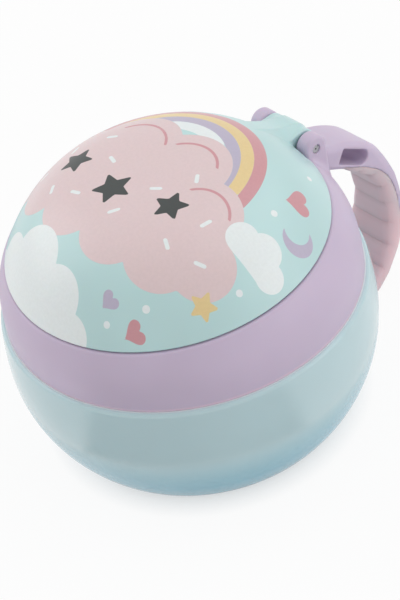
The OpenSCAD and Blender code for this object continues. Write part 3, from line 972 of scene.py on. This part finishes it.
def moon(x, y, cx, cy, r, turn):
    """Crescent: a disc less another disc beside it."""
    bite = np.hypot(x - cx - 0.55 * r * math.cos(turn), y - cy - 0.55 * r * math.sin(turn)) - 0.82 * r
    return round_max(np.hypot(x - cx, y - cy) - r, -bite, 0.15)


def print_fields(x, y):
    """The printed pattern: a cloud under a rainbow, white clouds, stars, a moon, hearts, dots and dashes."""
    cloud = discs(x, y, (-14, 4, 15), (5, 6, 14), (21, -3, 12.5), (-29, -6, 14), (33, -12, 9), (-38, -14, 9),
                  (-25, -18, 9), (-9, -19, 10), (8, -19, 10), (23, -17, 10))
    cloud = smooth_min(cloud, box_field(x, y, (-30, -18), (26, 0)), 1.0)
    front = discs(x, y, (-25, -41, 9), (-11, -38, 10.5), (3, -43, 9), (-36, -45, 8), (12, -50, 7))
    front = np.minimum(front, box_field(x, y, (-36, -60), (12, -44)))
    puff = discs(x, y, (40, 4, 5.2), (34, 1.5, 4.6), (46, 1, 4.4))
    puff = np.minimum(puff, box_field(x, y, (34, -3), (46, 1)) - 0.2)
    above = np.maximum(-cloud, -4 - y)

    def arch(inner, outer):
        return np.maximum(band(x, y, -2, 3, inner, outer), above)

    dashes = np.minimum.reduce([dash(x, y, *place) for place in (
        (-22, 5, 0.5), (-30, -3, 1.9), (-13, -2, -0.3), (12, 6, 2.3), (6, -3, 0.6), (25, -3, 1.4),
        (-12, -16, 0.2), (3, -15, 1.0), (22, -14, 2.6), (-33, -14, 1.1), (32, -12, 0.4), (-21, -18, 2.2))])
    curls = np.minimum.reduce([
        np.maximum(band(x, y, -14, 4, 10.2, 11), 10 - y),
        np.maximum(band(x, y, 5, 6, 9.6, 10.4), 12 - y),
        np.maximum(band(x, y, 21, -3, 8.4, 9.2), 2 - y)])
    dots = discs(x, y, (29, -30, 1.1), (33, 14, 1.0), (22, -40, 1.0), (44, -9, 1.0), (26, 36, 0.9),
                 (-40, 6, 1.0))
    return {
        "ink_pink": cloud,
        "ink_lilac": np.minimum.reduce([arch(19.5, 23), moon(x, y, 42, 16, 5, 2.6),
                                        heart(x, y, -11, -38, 4, 0.1),
                                        heart(x, y, 19.5, -34.5, 2.8, -0.3)]),
        "ink_gold": np.minimum.reduce([arch(23, 26.5), star(x, y, -42, 14, 3.4, 0.3),
                                       star(x, y, 40, -19, 3.6, 0.4)]),
        "ink_rose": np.minimum.reduce([arch(26.5, 30), curls, heart(x, y, 33, 24, 4.2, -0.5),
                                       heart(x, y, 30, -37, 3.4, -0.5)]),
        "ink_white": np.minimum.reduce([front, puff, dashes, dots, arch(15.5, 19.5)]),
        "ink_charcoal": np.minimum.reduce([star(x, y, -23, -7, 4.6, 0.15), star(x, y, -4, -9.5, 5.2, -0.2),
                                           star(x, y, 14, -5, 4.4, 0.4)]),
    }


def print_plane(x, y):
    """Place on the flat printed film before it was formed over the dome, with distances down its side."""
    r = np.linspace(0, LID_R, 300)
    slope = DOME_H * DOME_POWER / LID_R * (r / LID_R) ** (DOME_POWER - 1)
    steps = np.hypot(1, (slope[1:] + slope[:-1]) / 2) * np.diff(r)
    reach = np.maximum(np.hypot(x, y), 1e-6)
    stretch = np.interp(reach, r, np.concatenate([[0], np.cumsum(steps)])) / reach
    return x * stretch, y * stretch


def from_square(p):
    """Points of a square grid in the lid's frame, moved so that its squares become circles like the rim."""
    u, v = p[:, 0], p[:, 1]
    wide = np.abs(u) >= np.abs(v)
    reach = np.where(wide, u, v)
    other = np.where(wide, v, u)
    turn = math.pi / 4 * other / np.where(np.abs(reach) < 1e-9, 1e-9, reach)
    along, across = reach * np.cos(turn), reach * np.sin(turn)
    turned = [np.where(wide, along, across), np.where(wide, across, along), p[:, 2]]
    return from_lid(np.stack(turned, axis=-1))


def make_lid(cell=0.5):
    reach = LID_R + 2.45
    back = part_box("lid_shell")[1].y / MM + LID_FORWARD + 2
    points, faces, _ = implicit(lambda p: lid_field(from_square(p)), (-reach, -reach, -3.5),
                                (reach, back, DOME_H + 1), cell)
    points = from_square(points)
    normals = gradient(lid_field, points)
    normals /= np.maximum(np.linalg.norm(normals, axis=1, keepdims=True), 1e-9)
    lid = mesh_object("lid_dome", points, faces, normals)
    x, y, z = to_lid(points)
    hidden = dome_field(x, y, z, LID_R, DOME_H) < -0.7
    fields = print_fields(*print_plane(x, y))
    for name, values in fields.items():
        store(lid, name, np.where(hidden, UNPRINTED, values))
    return dress(lid, lid_finish(), "lid", "lid_shell")


def make_liner(plastic):
    """Disc that closes the lid, and the plug ring that drops into the mouth."""
    top = LINER_Z + LINER_T
    disc = round_corners([[0.01, LINER_Z], [LINER_R, LINER_Z], [LINER_R, top], [0.01, top]],
                         [0, 0.5, 0.4, 0], steps=4)
    points, faces = lathe(disc, 192)
    plug = round_corners([[PLUG_R - PLUG_WALL, PLUG_Z], [PLUG_R, PLUG_Z], [PLUG_R, SEAM_Z + LINER_Z + 1],
                          [PLUG_R - PLUG_WALL, SEAM_Z + LINER_Z + 1]], [0.5, 0.6, 0, 0], steps=5)
    obj = join_meshes("lid_liner_disc", [(from_lid(points), faces), lathe(plug, 192)])
    return dress(obj, plastic, "lid", "lid_liner")


# ---------------------------------------------------------------- insert

def make_flaps(rubber):
    """Soft flaps, each a thin wedge."""
    half_angle = math.pi / FLAPS
    tip = SLIT / 2 / math.sin(half_angle) + 0.4
    outer = FLAP_ROOT + 1.3
    for k in range(FLAPS):
        turn = 2 * half_angle * k
        rings = []
        for r in np.concatenate([np.linspace(tip, tip + 1.5, 5), np.linspace(tip + 3, outer, 22)]):
            half = min(r, FLAP_ROOT) * math.tan(half_angle) - SLIT / 2 / math.cos(half_angle)
            half = max(half, 0.12)
            thin = FLAP_T * (0.62 + 0.38 * min(1, (r - tip) / 20))
            low = FLAP_Z + (FLAP_T - thin) / 2
            edge = min(0.25, half / 2)
            section = round_corners([[-half, low], [half, low], [half, low + thin], [-half, low + thin]],
                                    [edge] * 4, 3)
            rings.append([[r * math.cos(turn) - a * math.sin(turn),
                           r * math.sin(turn) + a * math.cos(turn), b] for a, b in section[::-1]])
        points, faces = skin(rings)
        name = f"flap_{k + 1}"
        obj = mesh_object(f"soft_{name}", points, faces)
        obj.data.materials.append(rubber)
        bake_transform(obj)
        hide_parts(name)


# ---------------------------------------------------------------- stage

# Strength of the world's light, and what it falls to towards the photo's front
WORLD_PLAIN, WORLD_DIM = 0.8, 0.56
WORLD_FRONT = (0.73, -0.6, 0.33)

CAMERA_PLACE = (317.754, -204.990, 365.887)
CAMERA_RIGHT = (0.655728, 0.737204, -0.162947)
CAMERA_UP = (-0.418292, 0.534405, 0.734468)
LENS = 109.16


def area_lamp(name, place, target, size, power, spread=180):
    data = bpy.data.lights.new(name, "AREA")
    data.shape = "RECTANGLE"
    data.size, data.size_y = size[0] * MM, size[1] * MM
    data.energy = power
    data.spread = math.radians(spread)
    lamp = bpy.data.objects.new(name, data)
    lamp.location = Vector(place) * MM
    lamp.rotation_euler = (Vector(target) - Vector(place)).to_track_quat("-Z", "Y").to_euler()
    bpy.context.scene.collection.objects.link(lamp)
    return lamp


def make_stage():
    half = 3000
    points = [[-half, -half, 0], [half, -half, 0], [half, half, 0], [-half, half, 0]]
    floor = mesh_object("floor", points, [(0, 1, 2, 3)])
    floor.data.materials.append(floor_material())
    world = bpy.data.worlds.new("studio")
    bpy.context.scene.world = world
    world.use_nodes = True
    nodes, links = world.node_tree.nodes, world.node_tree.links
    background = nodes["Background"]
    front = nodes.new("ShaderNodeVectorMath")
    front.operation = "DOT_PRODUCT"
    front.inputs[1].default_value = WORLD_FRONT
    links.new(nodes.new("ShaderNodeTexCoord").outputs["Generated"], front.inputs[0])
    dim = nodes.new("ShaderNodeMapRange")
    for socket, value in (("From Min", 0.2), ("From Max", 0.95),
                          ("To Min", WORLD_PLAIN), ("To Max", WORLD_DIM)):
        dim.inputs[socket].default_value = value
    links.new(front.outputs["Value"], dim.inputs["Value"])
    level = nodes.new("ShaderNodeMix")
    links.new(nodes.new("ShaderNodeLightPath").outputs["Is Camera Ray"], level.inputs["Factor"])
    links.new(dim.outputs["Result"], level.inputs["A"])
    level.inputs["B"].default_value = 1.0
    links.new(level.outputs["Result"], background.inputs["Strength"])
    background.inputs["Color"].default_value = (1, 1, 1, 1)
    area_lamp("key", (250, 450, 800), (0, 0, 30), (900, 900), 1.6)
    area_lamp("fill", (-600, -300, 450), (0, 0, 30), (600, 600), 1.2)
    area_lamp("side", (600, 330, 240), (0, 20, 35), (500, 400), 0.6)


# Cards: name, inner and outer reach, first and last azimuth, soft edge in radians, two colours, cover
CARD_Z = 0.3
# Painted reflections: the grey front card darkens the cup's front, the teal-grey back card darkens its rim,
# and the pale teal foot card tints its foot
CARDS = (("front_card", 58, 170, -94, 6, 0.14, srgb(104, 104, 110), srgb(118, 118, 124), 1),
         ("back_card", 58, 170, 66, 206, 0.5, srgb(140, 168, 176), srgb(150, 176, 184), 1),
         ("foot_card", 38, 62, -215, 125, 0.3, srgb(196, 226, 236), srgb(204, 232, 242), 0.28))


def make_card(name, near, far, start, stop, edge_turn, dark, pale, cover):
    """Soft-edged card on the floor, from azimuth start to stop, that shows only in reflections, where its
    colour is a painted reflection.
    """
    reach, turn = np.linspace(near, far, 45), np.radians(np.linspace(start, stop, 91))
    fade = (far - near) / 10
    edge = np.minimum((np.minimum(reach - near, far - reach) / fade)[:, None], (turn - turn[0]) / edge_turn)
    edge = np.minimum(edge, (turn[-1] - turn) / edge_turn)
    rings = np.stack([reach[:, None] * np.cos(turn), reach[:, None] * np.sin(turn),
                      np.full(edge.shape, CARD_Z)], axis=-1)
    size = len(turn)
    faces = [(j * size + i, j * size + i + 1, (j + 1) * size + i + 1, (j + 1) * size + i)
             for j in range(len(reach) - 1) for i in range(size - 1)]
    card = mesh_object(name, rings.reshape(-1, 3), faces)
    store(card, "edge", cover * np.clip(edge, 0, 1))
    card.visible_camera = card.visible_diffuse = card.visible_shadow = card.visible_transmission = False
    finish = Finish(name)
    finish.feed("Base Color", finish.mix(finish.noise(0.02), dark, pale))
    finish.feed("Alpha", finish.attribute("edge"))
    finish.set(Roughness=1.0)
    card.data.materials.append(finish.material)


def make_camera():
    """Camera at the photographed viewing angle: its place in millimetres and its three axes."""
    data = bpy.data.cameras.new("camera")
    data.sensor_width = 36
    data.lens = LENS
    data.clip_start, data.clip_end = 0.01, 20
    camera = bpy.data.objects.new("camera", data)
    right, up = Vector(CAMERA_RIGHT), Vector(CAMERA_UP)
    back = right.cross(up).normalized()
    up = back.cross(right).normalized()
    turn = Matrix((right.normalized(), up, back)).transposed().to_4x4()
    camera.matrix_world = Matrix.Translation(Vector(CAMERA_PLACE) * MM) @ turn
    bpy.context.scene.collection.objects.link(camera)
    bpy.context.scene.camera = camera


make_camera()
make_stage()
for card in CARDS:
    make_card(*card)
collar_plastic = collar_finish()
handle_plastic = moulded("handle_plastic", LILAC, LILAC_GLOSS, **LILAC_SOFT).material
grip_rubber = grip_finish()
liner_plastic = moulded("liner_plastic", srgb(228, 236, 237), 0.4).material
insert_rubber = moulded("insert_rubber", srgb(232, 238, 240), 0.5, grain=4.0, Subsurface_Weight=0.3,
                        Subsurface_Scale=0.003).material
make_cup()
make_collar(collar_plastic)
make_handle(handle_plastic, grip_rubber)
make_pin()
make_lid()
make_liner(liner_plastic)
make_flaps(insert_rubber)
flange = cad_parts["insert_flange"]
flange.data.materials.clear()
flange.data.materials.append(insert_rubber)

bpy.context.scene.view_settings.view_transform = "Standard"
